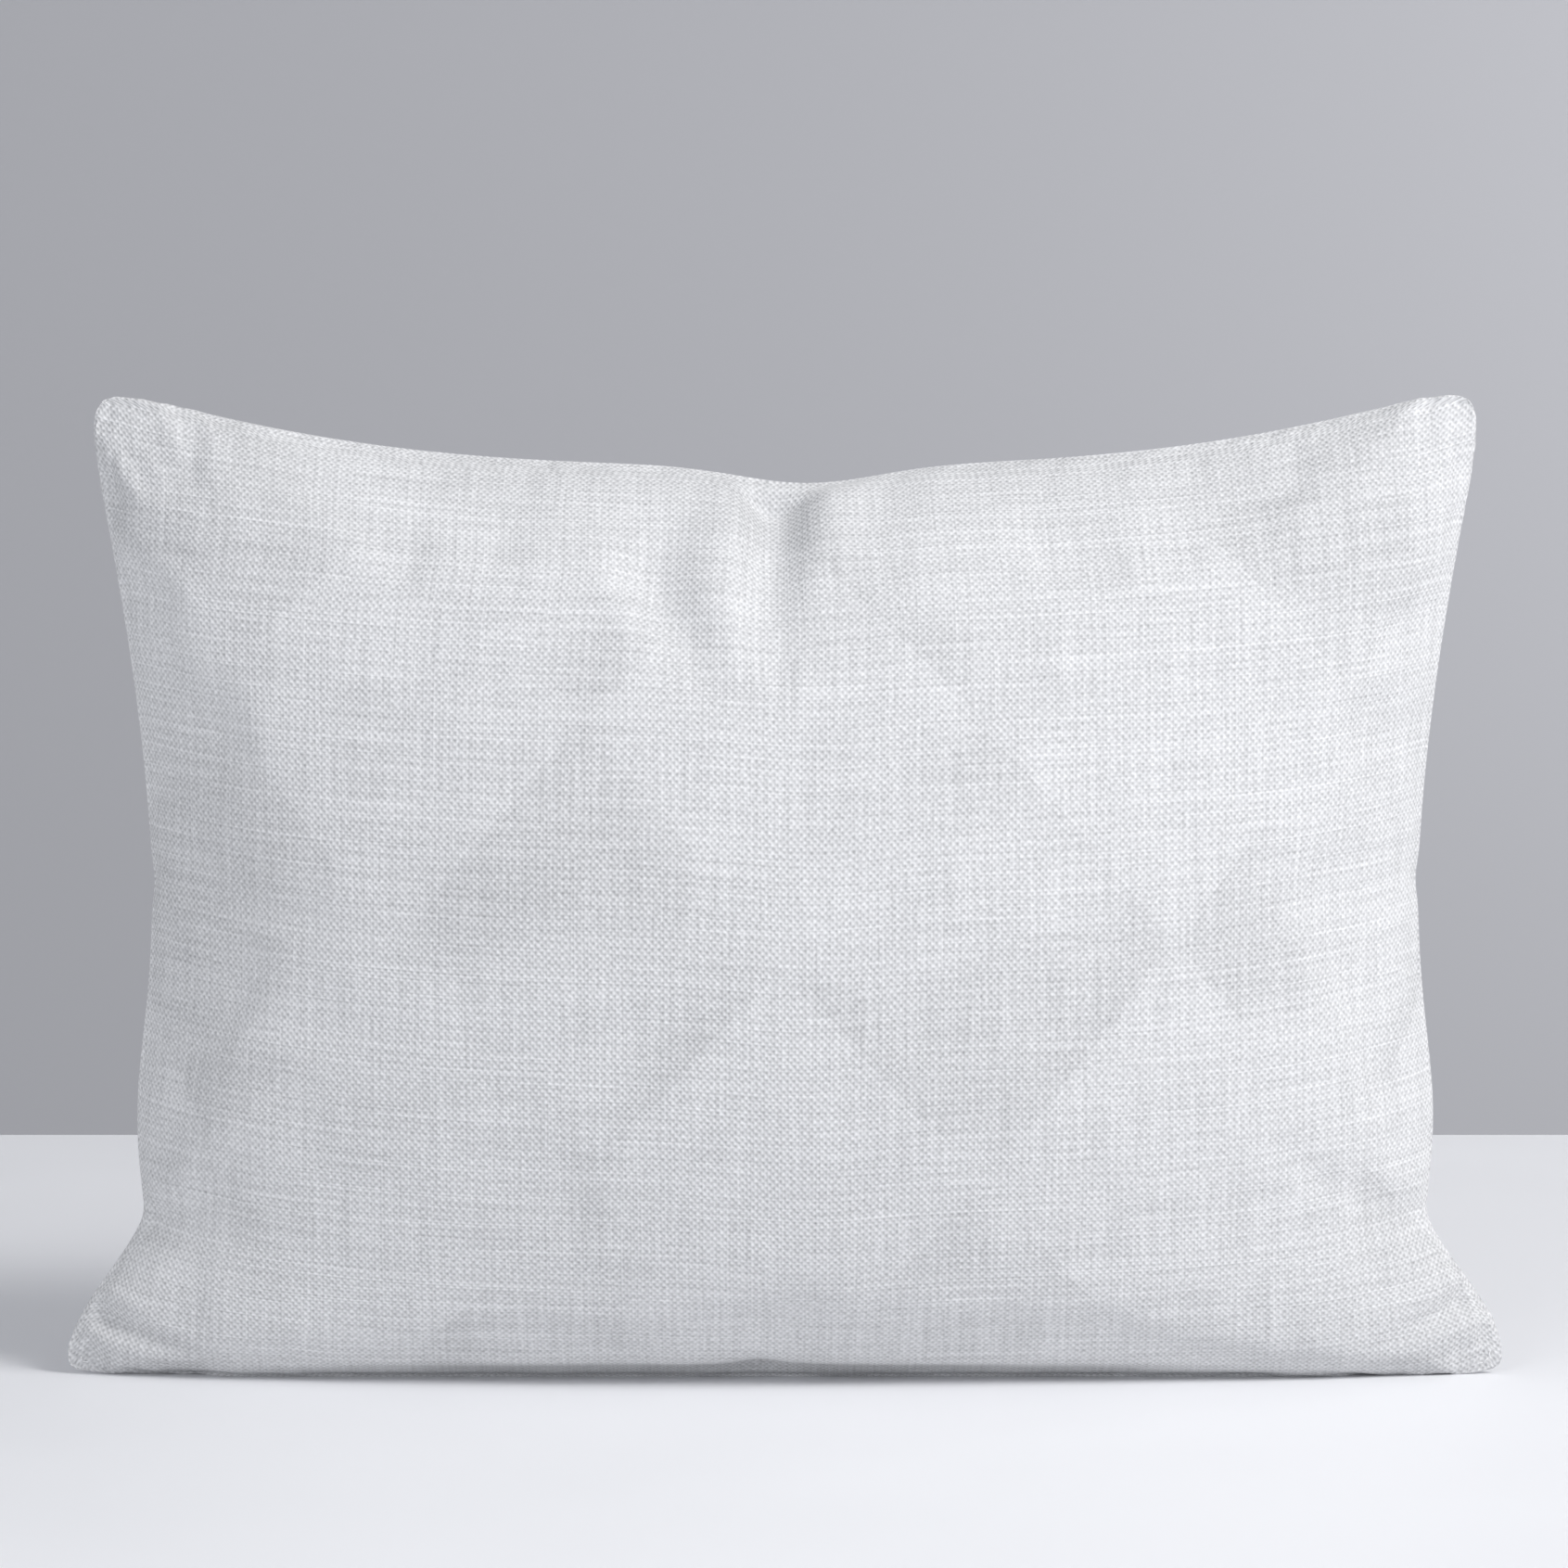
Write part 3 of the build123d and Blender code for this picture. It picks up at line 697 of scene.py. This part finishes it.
# ---- insert and filling ----------------------------------------------------------------------
cotton = woven(
    "insert_cotton", COTTON_PITCH, COTTON_PITCH, COTTON_LIGHT, COTTON_DARK, slub=0.3, relief=0.0001
)
for name, face in (("insert_front", -1), ("insert_back", 1)):
    points, _ = sculpted(face, INSERT_TUCK, INSERT_CROWN, INSERT_LOW.z)
    piece = new_piece(name, points, sheet_faces(*points.shape[:2], face))
    store_weave(piece, *cloth_coordinates(points))
    dress(piece, name + "_panel", cotton)

fill_floor = INSERT_LOW.z + FILL_LIFT
fill_points = [sculpted(face, FILL_TUCK, FILL_CROWN, fill_floor)[0] for face in (-1, 1)]
count = (ROWS + 1) * (COLUMNS + 1)
faces = sheet_faces(ROWS + 1, COLUMNS + 1, -1) + sheet_faces(ROWS + 1, COLUMNS + 1, 1, count)
filling = new_piece("filling", np.concatenate([half.reshape(-1, 3) for half in fill_points]), faces)
fibre = grained("polyester_fibre", (0.86, 0.86, 0.86), 0.85, (0.006, 0.004, 0.0015), 0.12, 0.0015, 0.4)
dress(filling, "fibre_fill", fibre)

# ---- stitching -------------------------------------------------------------------------------
spun = grained("spun_thread", (0.80, 0.80, 0.81), 0.75, (0.0004, 0.0004, 0.0004), 0.1, 0.00005, 0.3)
cover_runs = []
insert_runs = []
closing_runs = []
for face in (-1, 1):
    path = seam_path(STITCH_INSET, face, THREAD_LIFT, STITCH_INSET)
    cover_runs.append(path[(np.abs(path[:, 0]) > VALLEY_HALF) | (path[:, 2] > SEAM_ENDS_Z)])
    inset = INSERT_TUCK + STITCH_INSET
    path = seam_path(inset, face, THREAD_LIFT, INSERT_LOW.z + STITCH_INSET)
    within = (path[:, 2] > OPENING_LOW) & (path[:, 2] < OPENING_HIGH)
    opening = (path[:, 0] > OPENING_X) & within
    cut = np.flatnonzero(opening)
    insert_runs += [path[: cut[0]], path[cut[-1] + 1 :]]
    closing_runs.append(path[opening] - np.array((CLOSING_SHIFT, 0, 0)))
dress(stitches("cover_stitching", cover_runs), "cover_seam_stitching", spun)
dress(stitches("insert_stitching", insert_runs), "insert_seam_stitching", spun)
closing = stitches("closing_stitching", closing_runs)
dress(closing, "insert_closing_stitching", spun)
for side in ("front", "back"):
    node = "zip_stitching_" + side
    low, high = (Vector(corner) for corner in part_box(node))
    middle = (low.y + high.y) / 2
    runs = [np.array(((low.x, middle, z), (high.x, middle, z))) for z in (low.z, high.z)]
    rows = stitches("tape_stitching_" + side, runs, TAPE_PITCH, TAPE_THREAD)
    dress(rows, node, spun)

# ---- zip and labels keep their CAD shape -----------------------------------------------------
enamel = grained("white_enamel", (0.80, 0.80, 0.81), 0.3, (0.0015, 0.0015, 0.0015), 0.03, 0.00002)
moulded = grained("moulded_teeth", (0.80, 0.80, 0.80), 0.42, (0.0008, 0.0008, 0.0008), 0.04, 0.00003)
ribbon = grained("label_ribbon", (0.84, 0.84, 0.83), 0.45, (0.0002, 0.0002, 0.004), 0.06, 0.00004, 0.3)
tape = tape_weave()
finishes = {
    "zip_tape_front": tape, "zip_tape_back": tape,
    "zip_teeth_front": moulded, "zip_teeth_back": moulded,
    "zip_top_stops": enamel, "zip_bottom_stop": enamel,
    "zip_slider": enamel, "zip_pull": enamel,
    "insert_label": ribbon,
}
for node, material in finishes.items():
    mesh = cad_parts[node].data
    mesh.materials.clear()
    mesh.materials.append(material)

label_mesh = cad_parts["care_label"].data.copy()
label_mesh.materials.clear()
for vertex in label_mesh.vertices:
    vertex.co.x += LABEL_SHIFT
dress(put_in_scene("care_ribbon", label_mesh), "care_label", ribbon)

# ---- stage -----------------------------------------------------------------------------------
TABLE_LOW = Vector((-3, -2.4, -0.05))
TABLE_HIGH = Vector((3, 0.70, 0))
WALL_LOW = Vector((-4, 2.3, -2))
WALL_HIGH = Vector((4, 2.35, 4))


def slab(name, low, high, material):
    """A box between two corners, for the table and the backdrop."""
    corners = [(x, y, z) for x in (low.x, high.x) for y in (low.y, high.y) for z in (low.z, high.z)]
    faces = [(0, 1, 3, 2), (4, 6, 7, 5), (0, 4, 5, 1), (2, 3, 7, 6), (0, 2, 6, 4), (1, 5, 7, 3)]
    mesh = bpy.data.meshes.new(name)
    mesh.from_pydata(corners, [], faces)
    mesh.materials.append(material)
    put_in_scene(name, mesh)


table_white = grained("table_white", (0.86, 0.865, 0.89), 0.5, (0.2, 0.2, 0.2), 0.01, 0.00002)
wall_grey = grained("wall_grey", (0.45, 0.452, 0.478), 0.9, (0.3, 0.3, 0.3), 0.01, 0.00002)
slab("table", TABLE_LOW, TABLE_HIGH, table_white)
slab("wall", WALL_LOW, WALL_HIGH, wall_grey)


def area_light(name, place, target, size, power, colour):
    """A soft rectangular lamp that faces target."""
    data = bpy.data.lights.new(name, "AREA")
    data.shape = "RECTANGLE"
    data.size, data.size_y = size
    data.energy = power
    data.color = colour
    lamp = put_in_scene(name, data)
    lamp.location = place
    aim = Vector(target) - Vector(place)
    lamp.rotation_euler = aim.to_track_quat("-Z", "Y").to_euler()


area_light("key", (2.3, -1.6, 2.3), (0, 0, 0.18), (1.3, 1.3), 103, (1.0, 0.995, 0.99))
area_light("fill", (-1.2, -2.4, 0.9), (0, 0, 0.2), (1.2, 0.7), 20, (0.95, 0.97, 1.0))
area_light("wall_wash", (1.9, 1.3, 0.7), (0.7, WALL_LOW.y, 0.35), (1.0, 1.0), 14, (1.0, 1.0, 1.0))

world = bpy.data.worlds.new("studio")
world.use_nodes = True
world.node_tree.nodes["Background"].inputs[0].default_value = (0.915, 0.935, 0.975, 1)
world.node_tree.nodes["Background"].inputs[1].default_value = 0.42
bpy.context.scene.world = world
bpy.context.scene.view_settings.view_transform = "Standard"

# ---- camera ----------------------------------------------------------------------------------
DISTANCE = 1.80
AIM_X = 0.0008
AIM_Z = 0.2095
DOWN = np.radians(3.0)
VIEW_HEIGHT = 0.553  # what the square picture takes in at the pillow
SENSOR = 36.0

camera_data = bpy.data.cameras.new("camera")
camera_data.sensor_width = SENSOR
camera_data.lens = SENSOR * DISTANCE / VIEW_HEIGHT
camera = put_in_scene("camera", camera_data)
camera.location = (AIM_X, -DISTANCE * np.cos(DOWN), AIM_Z + DISTANCE * np.sin(DOWN))
camera.rotation_euler = (np.pi / 2 - DOWN, 0, 0)
bpy.context.scene.camera = camera
